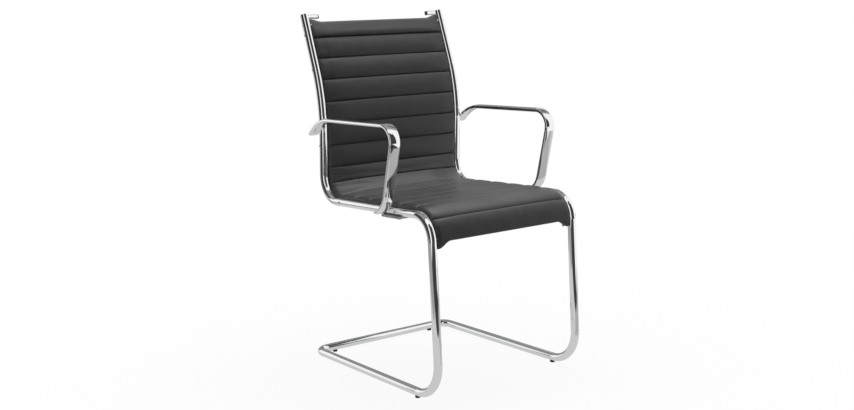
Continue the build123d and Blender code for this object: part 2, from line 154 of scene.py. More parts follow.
# Small forms of the leather: their lengths, and the distances over which they grow or fade
NOTCH_FADE = 0.03
PUCKER_LENGTH = 0.011
PUCKER_FADE = 0.011
PUCKER_START = 0.002
DENT_WIDTH = 0.05
DENT_LENGTH = 0.02
DENT_START = 0.008
DENT_SHARE = 0.6
WRINKLE_WIDTH = 0.03
WRINKLE_LENGTH = 0.009
WRINKLE_FADE = 0.02
WRINKLE_START = 0.004
PAD_ROLL_SHARE = 0.6

# Layers of the noise, so that no two forms share a pattern
SEAM_GRID = 0.01
SEAM_LAYER_STEP = 3.7
DENT_LAYER = 7.0
LEFT_LAYER = 11.0
RIGHT_LAYER = 23.0
LINING_LAYER = 41.0

# Drag creases: (x, station) where each starts at the tube, and where it runs out
DRAG_CREASES = [
    ((0.214, 0.082), (0.176, 0.098)),
    ((0.214, 0.094), (0.186, 0.109)),
    ((0.214, 0.105), (0.19, 0.117)),
    ((-0.214, 0.432), (-0.165, 0.436)),
    ((-0.214, 0.44), (-0.17, 0.447)),
    ((-0.214, 0.449), (-0.178, 0.459)),
    ((-0.214, 0.456), (-0.19, 0.465)),
    ((-0.214, 0.486), (-0.17, 0.492)),
    ((-0.214, 0.5), (-0.178, 0.508)),
    ((0.214, 0.44), (0.188, 0.449)),
    ((0.214, 0.452), (0.194, 0.462)),
]
CREASE_LEAD = 0.004
CREASE_WIDTH = 0.0026
CREASE_REACH = 0.05
CREASE_START = 0.004

# The soft fold that stands beside a crease
FOLD_SHARE = 0.55
FOLD_OFFSET = 0.0058
FOLD_WIDTH = 0.003

# Faces of the covers, lining and core, as heights from the tube's centreline
COVER_UNDERSIDE = 0.0025
HEM_UNDERSIDE = -0.004
LINING_FRONT = 0.0003
LINING_REAR = -0.0015
CORE_FRONT = 0.0022
CORE_REAR = 0.0006

# Puffs of the lining between its seams: rise, roundness, side margin and unevenness
LINING_PUFF = 0.0012
PUFF_POWER = 0.7
PUFF_EASE = 0.03
PUFF_UNEVENNESS = 0.3
PUFF_WIDTH = 0.03
PUFF_LENGTH = 0.012

# Ends of the layers: round of a free edge, gap between the covers, and the lining's gap to the hems
EDGE_BULGE = 0.0035
EDGE_ANGLES = [radians(angle) for angle in (80, 62, 44, 26, 10)]
WAIST_GAP = 0.0003
LAYER_END_GAP = 0.0005

# Meshing of the layers: insets of the points near the side edges, then pitch across and steps in a band
SIDE_INSETS = [0.0, 0.0008, 0.0018, 0.003, 0.0045, 0.0065, 0.009, 0.012, 0.016, 0.02, 0.025, 0.03]
UNDER_INSETS = [0.0, 0.004, 0.008, 0.013, 0.019, 0.025, 0.031, 0.037, 0.043, 0.07, 0.12]
COVER_PITCH = 0.005
COVER_STEPS = 16
LAYER_PITCH = 0.012
LAYER_STEPS = 12

# What the finish reads on a plain face: neither valley nor crown
PLAIN_RIB = 0.5

# Cloth that the covers are blown up as, and what is held of it
CLOTH = {
    "quality": 4,
    "mass": 0.3,
    "tension_stiffness": 25.0,
    "compression_stiffness": 25.0,
    "shear_stiffness": 12.0,
    "bending_stiffness": 0.6,
    "use_pressure": True,
    "uniform_pressure_force": 4.0,
}
SWELL_FRAMES = 20
HELD_EDGE = 0.012
HELD_EASE = 0.03

# Shares of the low back's padding under its last three seams
LOW_PAD_SHARES = [0.3, 0.6, 1.0]

# Stitches: margin at the sling's edge, and the thread's lift as a share of its radius
STITCH_INSET = 0.016
THREAD_LIFT = 0.3

# Leather: grains to the metre, then what mottle, pores and valleys do to its tone and roughness; the
# valleys' darker tone is painted shade
PEBBLE_SCALE = 820.0
PORE_SCALE = 2600.0
MOTTLE_SCALE = 34.0
PEBBLE_SHARE = 0.75
VALLEY_SHADE = 0.55
MOTTLE_ROUGHNESS = 0.12
PORE_ROUGHNESS = 0.08
VALLEY_ROUGHNESS = 0.25

# Painted light: the leather is painted lighter at the waist, from none to all, along Y and down Z
PAINTED_LIGHT_Y = (0.0, 0.16)
PAINTED_LIGHT_Z = (0.8, 0.55)

# Second colours of the finishes, worn, shaded or scuffed, and the studio's; the leather's valley colour is
# painted shade, and the plate's pale coat is a painted reflection
LEATHER_PAINTED_SHADE = (0.02, 0.02, 0.02)
THREAD_SHEEN = (0.045, 0.045, 0.046)
WEBBING_GAPS = (0.02, 0.02, 0.021)
PLATE_PAINTED_REFLECTION = (0.66, 0.66, 0.67)
PLATE_WORN_PAINTED_REFLECTION = (0.58, 0.58, 0.59)
PLASTIC_SCUFF = (0.05, 0.05, 0.05)
CHROME_SMUDGE_SHARE = 0.95
STEEL_STAIN_SHARE = 0.7
FLOOR_PAINT = (0.7, 0.7, 0.7)
FLOOR_WHITENESS = (0.94, 1.0)
SHADOW_REACH = (0.45, 1.25)
WHITE = (1.0, 1.0, 1.0)

# Cards that only reflections see: name, size, middle, turn in degrees and grey
LEVEL = (0, 0, 0)
UPRIGHT = (90, 0, 0)
CARDS = [
    ("base_floor_card", (2.6, 2.2), (0.2, 0.1, 0.0015), LEVEL, 0.64),
    ("left_floor_card", (3.5, 6.0), (-2.85, 1.9, 0.002), LEVEL, 0.36),
    ("middle_floor_card", (1.95, 3.7), (-0.125, 3.05, 0.002), LEVEL, 0.36),
    ("post_card", (1.2, 0.5), (0.6, -0.75, 0.004), LEVEL, 0.45),
    ("front_floor_card", (2.7, 2.6), (-0.6, -2.3, 0.003), LEVEL, 0.05),
    ("camera_card", (1.8, 4.4), (-1.65, -3.4, 2.2), (90, 0, -33), 0.05),
    ("front_top_card", (2.4, 0.7), (-0.6, -1.9, 2.6), (40, 0, 0), 0.04),
    ("left_card", (4.0, 2.65), (-2.6, 0.9, 1.33), (90, 0, 90), 0.05),
    ("front_card", (3.3, 4.6), (0.75, -3.7, 2.3), UPRIGHT, 0.05),
    ("bend_card", (1.5, 0.45), (1.6, 0.5, 2.85), LEVEL, 0.02),
    ("rear_floor_card", (4.0, 4.4), (2.9, 2.9, 0.002), LEVEL, 0.48),
    ("rear_card", (6.5, 2.7), (2.2, 4.4, 1.35), UPRIGHT, 0.26),
    ("ceiling_card", (6.0, 5.2), (0.0, 2.1, 2.9), LEVEL, 0.28),
]

# Camera
CAMERA_TARGET = Vector((0.0, 0.0439, 0.4435))
CAMERA_SHIFT = -0.0024
SENSOR_WIDTH = 36.0


class Wire:
    """A socket of a finish, so that shader maths reads as Python."""

    def __init__(self, finish, socket):
        self.finish = finish
        self.socket = socket

    def math(self, operation, *values):
        return self.finish.node("Math", {"operation": operation}, dict(enumerate(values)))

    def __add__(self, other):
        return self.math("ADD", self, other)

    def __sub__(self, other):
        return self.math("SUBTRACT", self, other)

    def __rsub__(self, other):
        return self.math("SUBTRACT", other, self)

    def __mul__(self, other):
        return self.math("MULTIPLY", self, other)

    __radd__ = __add__
    __rmul__ = __mul__

    def ramp(self, low, high, low_value=0.0, high_value=1.0):
        """Clamped ramp from one range to another."""
        limits = {1: low, 2: high, 3: low_value, 4: high_value}
        return self.finish.node("MapRange", {"clamp": True}, {0: self, **limits})

    def between(self, first, second):
        """This share of the way from one colour to the other."""
        colours = {"Factor": self, "A": first, "B": second}
        return self.finish.node("Mix", {"data_type": "RGBA"}, colours, "Result")


class Finish:
    """The shader nodes of a material or of the world, in the making."""

    def __init__(self, owner):
        self.owner = owner
        owner.use_nodes = True
        self.tree = owner.node_tree
        self.tree.nodes.clear()

    @classmethod
    def named(cls, name):
        """A finish in a new material."""
        return cls(bpy.data.materials.new(name))

    def node(self, kind, settings=None, inputs=None, output=0):
        """Any node: its settings first, then the values or links of its sockets."""
        made = self.tree.nodes.new("ShaderNode" + kind)
        for name, value in (settings or {}).items():
            setattr(made, name, value)
        for name, value in (inputs or {}).items():
            socket = self.socket(made.inputs, name)
            if isinstance(value, Wire):
                self.tree.links.new(value.socket, socket)
            else:
                socket.default_value = value
        return Wire(self, self.socket(made.outputs, output)) if made.outputs else None

    @staticmethod
    def socket(sockets, name):
        """A socket by its place or name; where several share a name, the one in use."""
        if isinstance(name, int):
            return sockets[name]
        return next(socket for socket in sockets if socket.name == name and socket.enabled)

    def place(self):
        return self.node("TexCoord", output="Object")

    def axis(self, name):
        """One coordinate of the place on the piece."""
        return self.node("SeparateXYZ", {}, {"Vector": self.place()}, name)

    def noise(self, scale, detail):
        return self.node("TexNoise", {}, {"Vector": self.place(), "Scale": scale, "Detail": detail})

    def bump(self, height, distance, strength):
        return self.node("Bump", {}, {"Height": height, "Distance": distance, "Strength": strength})

    def surface(self, **sockets):
        """End the tree in a Principled shader and hand back the material."""
        inputs = {name.replace("_", " "): value for name, value in sockets.items()}
        return self.ended("OutputMaterial", self.node("BsdfPrincipled", {}, inputs))

    def ended(self, output, shader):
        """Link a shader to its output and hand back what the finish is for."""
        self.node(output, {}, {"Surface": shader})
        return self.owner


class ChairSlingSizes(bpy.types.PropertyGroup):
    """Sizes of the leather sling and its sewing."""

    seam_height: bpy.props.FloatProperty(
        name="Seam height", description="Seam valleys above the tube's centreline",
        default=0.0052, unit="LENGTH")
    back_rib: bpy.props.FloatProperty(
        name="Back rib", description="Height of a back rib over its seams",
        default=0.0082, unit="LENGTH")
    seat_rib: bpy.props.FloatProperty(
        name="Seat rib", description="Height of a seat rib over its seams",
        default=0.0038, unit="LENGTH")
    seat_pad: bpy.props.FloatProperty(
        name="Seat pad", description="Padding that lifts the seat's seams",
        default=0.0105, unit="LENGTH")
    waist_pad: bpy.props.FloatProperty(
        name="Waist pad", description="Padding that lifts the seam between back and seat",
        default=0.0098, unit="LENGTH")
    waist_bridge: bpy.props.FloatProperty(
        name="Waist bridge", description="How far the taut middle spans clear of the waist bend",
        default=0.009, unit="LENGTH")
    pad_flattening: bpy.props.FloatProperty(
        name="Pad flattening", description="How much of the padding under a back rib is taken off its rise",
        default=0.3, min=0, max=1, subtype="FACTOR")
    swell_limit: bpy.props.FloatProperty(
        name="Swell limit", description="How far the cloth pass may move the leather",
        default=0.002, unit="LENGTH")
    edge_notch: bpy.props.FloatProperty(
        name="Edge notch", description="How much deeper the seams are drawn in beside the tubes",
        default=0.004, unit="LENGTH")
    low_back_pad: bpy.props.FloatProperty(
        name="Low back pad", description="Padding that lifts the lowest seam of the back",
        default=0.003, unit="LENGTH")
    front_pad: bpy.props.FloatProperty(
        name="Front pad", description="Padding that lifts the front seam",
        default=0.006, unit="LENGTH")
    side_rib_share: bpy.props.FloatProperty(
        name="Side rib share", description="Share of a rib's height left beside the tubes",
        default=0.6, min=0, max=1, subtype="FACTOR")
    edge_height: bpy.props.FloatProperty(
        name="Edge height", description="Where the leather turns under beside the tubes",
        default=0.0032, unit="LENGTH")
    edge_roll: bpy.props.FloatProperty(
        name="Edge roll", description="Width over which the side edges round off",
        default=0.009, unit="LENGTH")
    side_ease: bpy.props.FloatProperty(
        name="Side ease", description="Width over which the ribs flatten towards the tubes",
        default=0.045, unit="LENGTH")
    back_fullness: bpy.props.FloatProperty(
        name="Back fullness", description="Lower powers give fuller ribs with sharper valleys",
        default=0.46, min=0.2, max=1.5)
    seat_fullness: bpy.props.FloatProperty(
        name="Seat fullness", description="Lower powers give fuller ribs with sharper valleys",
        default=0.45, min=0.2, max=1.5)
    gathers: bpy.props.FloatProperty(
        name="Gathers", description="Height of the small puckers along the seams",
        default=0.0005, unit="LENGTH")
    side_wrinkles: bpy.props.FloatProperty(
        name="Side wrinkles", description="Height of the wrinkles beside the tubes",
        default=0.0014, unit="LENGTH")
    crease_depth: bpy.props.FloatProperty(
        name="Crease depth", description="Depth of the drag creases beside the tubes",
        default=0.0026, unit="LENGTH")
    stitch_length: bpy.props.FloatProperty(
        name="Stitch length", description="Length of one stitch",
        default=0.0032, unit="LENGTH")
    stitch_pitch: bpy.props.FloatProperty(
        name="Stitch pitch", description="From one stitch to the next",
        default=0.0044, unit="LENGTH")
    thread_radius: bpy.props.FloatProperty(
        name="Thread radius", description="Half the thickness of the thread",
        default=0.00035, unit="LENGTH")


class ChairFinishes(bpy.types.PropertyGroup):
    """Colours and gloss of the chair's materials."""

    leather: bpy.props.FloatVectorProperty(
        name="Leather", description="Colour of the black leather",
        default=(0.042, 0.042, 0.043), subtype="COLOR", min=0, max=1)
    leather_worn: bpy.props.FloatVectorProperty(
        name="Leather crowns", description="Colour of the leather where it is rubbed",
        default=(0.052, 0.052, 0.052), subtype="COLOR", min=0, max=1)
    # Painted light: the lighter colour painted on the low back and the seat's rear, for light that falls
    # there
    leather_painted_light: bpy.props.FloatVectorProperty(
        name="Leather at the waist", description="Colour of the leather where sitters lean and slide",
        default=(0.095, 0.095, 0.095), subtype="COLOR", min=0, max=1)
    leather_roughness: bpy.props.FloatProperty(
        name="Leather roughness", description="Roughness of the leather",
        default=0.42, min=0, max=1, subtype="FACTOR")
    chrome: bpy.props.FloatVectorProperty(
        name="Chrome", description="Colour of the chrome",
        default=(0.9, 0.905, 0.91), subtype="COLOR", min=0, max=1)
    chrome_roughness: bpy.props.FloatProperty(
        name="Chrome roughness", description="Roughness of clean chrome",
        default=0.035, min=0, max=1, subtype="FACTOR")
    steel: bpy.props.FloatVectorProperty(
        name="Steel", description="Colour of the bare steel",
        default=(0.62, 0.62, 0.61), subtype="COLOR", min=0, max=1)
    plastic: bpy.props.FloatVectorProperty(
        name="Plastic", description="Colour of the glides and plugs",
        default=(0.018, 0.018, 0.019), subtype="COLOR", min=0, max=1)
    thread: bpy.props.FloatVectorProperty(
        name="Thread", description="Colour of the sewing thread",
        default=(0.02, 0.02, 0.021), subtype="COLOR", min=0, max=1)
    webbing: bpy.props.FloatVectorProperty(
        name="Webbing", description="Colour of the woven core",
        default=(0.06, 0.06, 0.062), subtype="COLOR", min=0, max=1)


class ChairStudio(bpy.types.PropertyGroup):
    """Camera and light."""

    azimuth: bpy.props.FloatProperty(
        name="Azimuth", description="Camera's turn about the chair",
        default=radians(-35.11), subtype="ANGLE")
    elevation: bpy.props.FloatProperty(
        name="Elevation", description="Camera's height angle",
        default=radians(8.98), subtype="ANGLE")
    roll: bpy.props.FloatProperty(
        name="Roll", description="Camera's tilt about its own line of sight",
        default=radians(-2.21), subtype="ANGLE")
    distance: bpy.props.FloatProperty(
        name="Distance", description="From the camera to its target",
        default=3.1685, unit="LENGTH")
    lens: bpy.props.FloatProperty(
        name="Lens", description="Focal length on a 36 mm sensor",
        default=48.52, unit="CAMERA")
    overhead_power: bpy.props.FloatProperty(
        name="Overhead lamp", description="Power of the large lamp above the chair",
        default=165.0, subtype="POWER")
    front_power: bpy.props.FloatProperty(
        name="Front lamp", description="Power of the large lamp before the chair",
        default=13.0, subtype="POWER")
    fill: bpy.props.FloatProperty(
        name="Fill", description="Strength of the white room around the chair",
        default=0.05, min=0, max=1, subtype="FACTOR")


def beside_path(station, height=0.0):
    """Point (y, z) at a station along the tube's centreline, raised towards the sitter."""
    start, point, along, curvature = STRETCHES[max(bisect_right(STARTS, station) - 1, 0)]
    run = station - start
    left = Vector((-along.y, along.x))
    if curvature:
        angle = curvature * run
        place = point + (along * sin(angle) + left * (1 - cos(angle))) / curvature
        along = along * cos(angle) + left * sin(angle)
    else:
        place = point + along * run
    return place.x + height * along.y, place.y - height * along.x


def smooth(value):
    """Ease from 0 to 1."""
    value = min(max(value, 0.0), 1.0)
    return value * value * (3 - 2 * value)


def grown(distance, over):
    """Share of a form that has grown this far from its seam."""
    return min(distance / over, 1.0)


def uneven(across, along, layer):
    """Smooth noise, between about -1 and 1."""
    return noise.noise(Vector((across, along, layer)))


def opaque(colour):
    """A colour with full alpha."""
    return (*colour, 1.0)


def from_degrees(angles):
    """Angles as Blender takes them."""
    return tuple(radians(angle) for angle in angles)


def leave_alone():
    """Leave edit mode and deselect everything."""
    if bpy.context.object and bpy.context.object.mode != "OBJECT":
        bpy.ops.object.mode_set(mode="OBJECT")
    bpy.ops.object.select_all(action="DESELECT")


def take(piece):
    """Select one piece alone and make it active."""
    leave_alone()
    piece.select_set(True)
    bpy.context.view_layer.objects.active = piece


def apply_all(piece):
    """Apply a piece's modifiers in order."""
    take(piece)
    for modifier in list(piece.modifiers):
        bpy.ops.object.modifier_apply(modifier=modifier.name)


def subdivide_once(piece):
    """One applied level of subdivision."""
    rounding = piece.modifiers.new("rounding", "SUBSURF")
    rounding.levels = 1
    rounding.render_levels = 1
    apply_all(piece)


def settle(piece, slot, material, *nodes, fill=None):
    """Give a finished piece its body, material and the solids it stands for; its slot is not used."""
    piece.data.materials.clear()
    piece.data.materials.append(material)
    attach(piece, "root")
    if nodes:
        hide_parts(*nodes)


# Leather, thread and webbing

def leather_finish(name, finishes):
    """Black leather: fine pebble grain, a slow mottle, dull valleys with painted shade, rubbed crowns, and
    painted light at the waist.
    """
    finish = Finish.named(name)
    rib = finish.node("Attribute", {"attribute_name": "rib"}, output="Fac")
    pebbles = finish.node("TexVoronoi", {"feature": "F1"}, {"Vector": finish.place(), "Scale": PEBBLE_SCALE})
    pores = finish.noise(PORE_SCALE, detail=2.0)
    mottle = finish.noise(MOTTLE_SCALE, detail=4.0)
    rubbed = (rib.ramp(0.55, 1.0) * mottle.ramp(0.35, 0.7)).ramp(0.0, 0.8)
    # Painted light: the leather is painted lighter towards the rear and the bottom, at the waist
    painted_waist_light = finish.axis("Y").ramp(*PAINTED_LIGHT_Y) * finish.axis("Z").ramp(*PAINTED_LIGHT_Z)
    # Painted shade: the leather is painted darker in the seam valleys, which are also rougher
    valley = rib.ramp(0.0, 0.25, VALLEY_SHADE, 0.0)
    colour = rubbed.between(opaque(finishes.leather), opaque(finishes.leather_worn))
    colour = painted_waist_light.between(colour, opaque(finishes.leather_painted_light))
    colour = valley.between(colour, opaque(LEATHER_PAINTED_SHADE))
    rough = finishes.leather_roughness + (mottle - 0.5) * MOTTLE_ROUGHNESS + (pores - 0.5) * PORE_ROUGHNESS
    rough = rough + valley * VALLEY_ROUGHNESS
    grain = (1 - pebbles.ramp(0.0, 0.9)) * PEBBLE_SHARE + pores * (1 - PEBBLE_SHARE)
    return finish.surface(
        Base_Color=colour, Roughness=rough, Specular_IOR_Level=0.4,
        Normal=finish.bump(grain, distance=0.00022, strength=0.55))


def thread_finish(finishes):
    """Waxed polyester thread, with its twist."""
    finish = Finish.named("sewing_thread")
    lay = (0.0, 0.0, radians(38))
    slanted = finish.node("Mapping", {}, {"Vector": finish.place(), "Rotation": lay})
    twist = finish.node("TexWave", {"wave_type": "BANDS"}, {"Vector": slanted, "Scale": 900.0})
    return finish.surface(
        Base_Color=twist.between(opaque(finishes.thread), opaque(THREAD_SHEEN)),
        Roughness=twist.ramp(0.0, 1.0, 0.62, 0.45),
        Normal=finish.bump(twist, distance=0.0001, strength=0.6))


def webbing_finish(finishes):
    """Woven core: two sets of bands that cross."""
    finish = Finish.named("woven_webbing")
    across, along = [
        finish.node("TexWave", {"wave_type": "BANDS", "bands_direction": direction},
                    {"Vector": finish.place(), "Scale": 160.0})
        for direction in ("X", "DIAGONAL")]
    weave = across * along + (1 - across) * (1 - along)
    return finish.surface(
        Base_Color=weave.between(opaque(WEBBING_GAPS), opaque(finishes.webbing)),
        Roughness=weave.ramp(0.0, 1.0, 0.9, 0.7),
        Normal=finish.bump(weave, distance=0.0004, strength=0.7))


# Sling layers

class Cover:
    """Layout of one leather cover: its seams, the padding under them and its ribs.

    The back begins with the top band, at a free edge, and the seat ends with the front roll, at another.
    """

    def __init__(self, seams, pads, rise, fullness, flattening=0.0, is_back=False):
        self.seams = seams
        self.bands = list(zip(seams, seams[1:]))
        self.pads = pads
        self.rise = rise
        self.fullness = fullness
        self.flattening = flattening
        self.is_back = is_back
        self.top_band = 0 if is_back else None
        self.front_roll = None if is_back else len(self.bands) - 1


def back_pads(sizes):
    """How far padding lifts each edge and seam of the back, from the top edge to the waist."""
    flat = 1 + len(BACK_SEAMS) - len(LOW_PAD_SHARES)
    return [*[0.0] * flat, *[share * sizes.low_back_pad for share in LOW_PAD_SHARES], sizes.waist_pad]


def seat_pads(sizes):
    """How far padding lifts each seat seam, from the waist to the front edge."""
    return [sizes.waist_pad, *[sizes.seat_pad] * (SEAT_BAND_COUNT - 1), sizes.front_pad, 0.0]


def ear_share(x):
    """How far the sling's corner has risen into its ear, across the width."""
    return smooth((abs(x) - (SLING_EDGE - EAR_WIDTH)) / (EAR_WIDTH - EAR_TIP))


def ear_slide(x, station, cover):
    """How far a point slides along the tube towards its ear, in the band at the free edge."""
    seams = cover.seams
    if cover.is_back and station < seams[1]:
        return -TOP_EAR_RISE * ear_share(x) * grown(seams[1] - station, seams[1] - seams[0])
    if not cover.is_back and station > seams[-2]:
        return FRONT_EAR_DROP * ear_share(x) * grown(station - seams[-2], seams[-1] - seams[-2])
    return 0.0


def band_rows(seams, steps):
    """Rows of a quilted layer: (station, share across the band, band), closer together at the seams."""
    rows = []
    for band, (first, last) in enumerate(zip(seams, seams[1:])):
        for step in range(steps):
            share = (1 - cos(pi * step / steps)) / 2
            rows.append((first + (last - first) * share, share, band))
    rows.append((seams[-1], 1.0, len(seams) - 2))
    return rows


def sling_columns(edge, pitch):
    """Places across the sling, closer together at its side edges."""
    inner = edge - SIDE_INSETS[-1]
    count = round(2 * inner / pitch)
    middle = [-inner + 2 * inner * step / count for step in range(1, count)]
    right = [inset - edge for inset in SIDE_INSETS]
    return right + middle + [-x for x in reversed(right)]


def end_strip(ring, columns, first):
    """Triangles that close an end ring between its face, towards +X, and its underside, towards -X."""
    upper, lower = list(range(columns)), list(range(len(ring) - 1, columns - 1, -1))
    faces = []
    while len(upper) > 1 or len(lower) > 1:
        if len(lower) < 2 or (len(upper) > 1 and ring[upper[1]][0] < ring[lower[1]][0]):
            faces.append((first + upper[0], first + upper[1], first + lower[0]))
            upper.pop(0)
        else:
            faces.append((first + upper[0], first + lower[1], first + lower[0]))
            lower.pop(0)
    return faces


def ringed_mesh(name, rings, columns, ribs):
    """Closed skin over rings of points that run round the layer, with the end rings filled.

    It also keeps how high each point stands on its rib, for the leather's finish.
    """
    around = len(rings[0])
    points = [point for ring in rings for point in ring]
    faces = end_strip(rings[0], columns, 0) + end_strip(rings[-1], columns, len(points) - around)
    for row in range(len(rings) - 1):
        for spot in range(around):
            after = (spot + 1) % around
            low, high = row * around, (row + 1) * around
            faces.append((low + after, low + spot, high + spot, high + after))
    mesh = bpy.data.meshes.new(name)
    mesh.from_pydata(points, [], faces)
    piece = bpy.data.objects.new(name, mesh)
    bpy.context.scene.collection.objects.link(piece)
    take(piece)
    bpy.ops.object.mode_set(mode="EDIT")
    bpy.ops.mesh.select_all(action="SELECT")
    bpy.ops.mesh.normals_make_consistent(inside=False)
    bpy.ops.object.mode_set(mode="OBJECT")
    bpy.ops.object.shade_smooth()
    piece.data.attributes.new("rib", "FLOAT", "POINT").data.foreach_set("value", ribs)
    return piece


def crease(x, station, line):
    """Share of a crease's depth at a point: deepest at the tube, running out inwards."""
    (x0, s0), (x1, s1) = line
    length = hypot(x1 - x0, s1 - s0)
    along = ((x - x0) * (x1 - x0) + (station - s0) * (s1 - s0)) / length
    beside = ((x - x0) * (s1 - s0) - (station - s0) * (x1 - x0)) / length
    if not -CREASE_LEAD < along < length:
        return 0.0
    groove = exp(-((beside / CREASE_WIDTH) ** 2))
    fold = exp(-(((beside - FOLD_OFFSET) / FOLD_WIDTH) ** 2))
    return (1 - smooth(along / length)) * (groove - FOLD_SHARE * fold)


def rib_share(share, band, cover):
    """Height of a rib across its band: 0 in the valley, 1 on the crown."""
    def full(value):
        return max(1 - abs(value) ** RIB_FLATNESS, 0.0)

    if band == cover.top_band:
        if share < TOP_CROWN:
            return 1 - TOP_LEAN * (1 - share / TOP_CROWN) ** TOP_LEAN_POWER
        return full((share - TOP_CROWN) / (1 - TOP_CROWN)) ** cover.fullness
    section = full(2 * share - 1)
    if band == cover.front_roll and share > 0.5:
        section = FRONT_EDGE_SHARE + (1 - FRONT_EDGE_SHARE) * section ** FRONT_ROLL_POWER
    return section ** cover.fullness


def bridge_lift(x, station, sizes):
    """How far the taut sling stands clear of the waist bend, away from the tubes."""
    span = min(abs(station - WAIST_SEAM - BRIDGE_OFFSET) / BRIDGE_REACH, 1.0)
    inwards = smooth((SLING_EDGE - abs(x) - BRIDGE_MARGIN) / BRIDGE_EASE)
    return sizes.waist_bridge * (1 - smooth(span)) * inwards


def leather_height(x, station, share, band, cover, sizes):
    """Height of the leather's face, with all its small forms, and the share of its rib."""
    inset = SLING_EDGE - abs(x)
    rib = rib_share(share, band, cover)
    pad = cover.pads[band] + (cover.pads[band + 1] - cover.pads[band]) * share
    rise = cover.rise - cover.flattening * pad
    rise *= sizes.side_rib_share + (1 - sizes.side_rib_share) * smooth(inset / sizes.side_ease)
    height = sizes.seam_height + pad + rise * rib + bridge_lift(x, station, sizes)
    height -= sizes.edge_notch * exp(-inset / NOTCH_FADE) * (1 - rib)

    first, last = cover.bands[band]
    nearest = first if station - first < last - station else last
    to_seam = min(station - first, last - station)
    if band == cover.top_band:
        to_seam = last - station
    if band == cover.front_roll:
        to_seam = station - first

    pull = exp(-to_seam / PUCKER_FADE) * grown(to_seam, PUCKER_START)
    seam_layer = round(nearest / SEAM_GRID) * SEAM_LAYER_STEP
    height += sizes.gathers * pull * uneven(x / PUCKER_LENGTH, seam_layer, 0.0)
    dents = uneven(x / DENT_WIDTH, station / DENT_LENGTH, DENT_LAYER)
    height += DENT_SHARE * sizes.gathers * grown(to_seam, DENT_START) * dents
    beside = exp(-inset / WRINKLE_FADE) * grown(to_seam, WRINKLE_START)
    side_layer = LEFT_LAYER if x > 0 else RIGHT_LAYER
    wrinkles = uneven(inset / WRINKLE_WIDTH, station / WRINKLE_LENGTH, side_layer)
    height += sizes.side_wrinkles * beside * wrinkles
    if inset < CREASE_REACH:
        for line in DRAG_CREASES:
            height -= sizes.crease_depth * grown(to_seam, CREASE_START) * crease(x, station, line)

    roll = sizes.edge_roll + PAD_ROLL_SHARE * pad
    if inset < roll:
        rolled = sqrt(max(1 - (1 - inset / roll) ** 2, 0.0))
        height = sizes.edge_height + (height - sizes.edge_height) * rolled
    if band == cover.top_band and share < TOP_CROWN:
        rib = max(rib, PLAIN_RIB)
    return height, rib


def swell(piece, holds, sizes):
    """Swell the leather as cloth between its seams, up to the swell limit."""
    scene = bpy.context.scene
    held = piece.vertex_groups.new(name="held")
    for spot, hold in enumerate(holds):
        held.add([spot], hold, "REPLACE")
    before = [vertex.co.copy() for vertex in piece.data.vertices]
    cloth = piece.modifiers.new("swell", "CLOTH")
    for name, value in CLOTH.items():
        setattr(cloth.settings, name, value)
    cloth.settings.vertex_group_mass = held.name
    cloth.settings.effector_weights.gravity = 0.0
    cloth.collision_settings.use_collision = False
    for moment in range(1, SWELL_FRAMES + 1):
        scene.frame_set(moment)
    apply_all(piece)
    scene.frame_set(1)
    for vertex, start in zip(piece.data.vertices, before):
        move = vertex.co - start
        if move.length > sizes.swell_limit:
            vertex.co = start + move * (sizes.swell_limit / move.length)
    piece.vertex_groups.clear()


def leather_cover(name, cover, sizes):
    """One quilted cover: ribs towards the sitter, plain underside, rounded free edge."""
    columns = sling_columns(SLING_EDGE, COVER_PITCH)
    under_half = [SLING_EDGE - inset for inset in UNDER_INSETS]
    under_columns = [*under_half, *[-x for x in reversed(under_half)]]
    first, last = cover.seams[0], cover.seams[-1]
    rings, ribs, holds = [], [], []

    def add_ring(station, share, band, low, squeeze=1.0, slide=0.0):
        """A ring round the layer; a squeeze below 1 draws its two faces together."""
        ring = []
        for spot, x in enumerate([*columns, *under_columns]):
            height, rib = leather_height(x, station, share, band, cover, sizes)
            middle = (height + low) / 2
            reach = (height - low) / 2 * squeeze
            side = 1 if spot < len(columns) else -1
            along = station + slide + ear_slide(x, station, cover)
            ring.append((x, *beside_path(along, middle + side * reach)))
            ribs.append(rib if side > 0 else PLAIN_RIB)
            loose = rib * smooth((SLING_EDGE - abs(x) - HELD_EDGE) / HELD_EASE)
            loose *= smooth(min(station - first, last - station) / HELD_EASE)
            holds.append(1 - loose if side > 0 and squeeze == 1.0 else 1.0)
        rings.append(ring)

    def add_free_edge(station, share, band, outwards):
        """Rings that round off a free edge, in their order along the sling."""
        for angle in EDGE_ANGLES if outwards < 0 else reversed(EDGE_ANGLES):
            add_ring(station, share, band, HEM_UNDERSIDE, cos(angle), outwards * EDGE_BULGE * sin(angle))

    waist, waist_slide = (last, -WAIST_GAP) if cover.is_back else (first, WAIST_GAP)
    if cover.is_back:
        add_free_edge(first + EDGE_BULGE, 0.0, cover.top_band, -1)
    for station, share, band in band_rows(cover.seams, COVER_STEPS):
        from_edge = station - first if cover.is_back else last - station
        if from_edge >= EDGE_BULGE:
            low = HEM_UNDERSIDE if from_edge < HEM_LENGTH else COVER_UNDERSIDE
            add_ring(station, share, band, low, slide=waist_slide if station == waist else 0.0)
    if not cover.is_back:
        add_free_edge(last - EDGE_BULGE, 1.0, cover.front_roll, 1)
    piece = ringed_mesh(name, rings, len(columns), ribs)
    swell(piece, holds, sizes)
    subdivide_once(piece)
    return piece


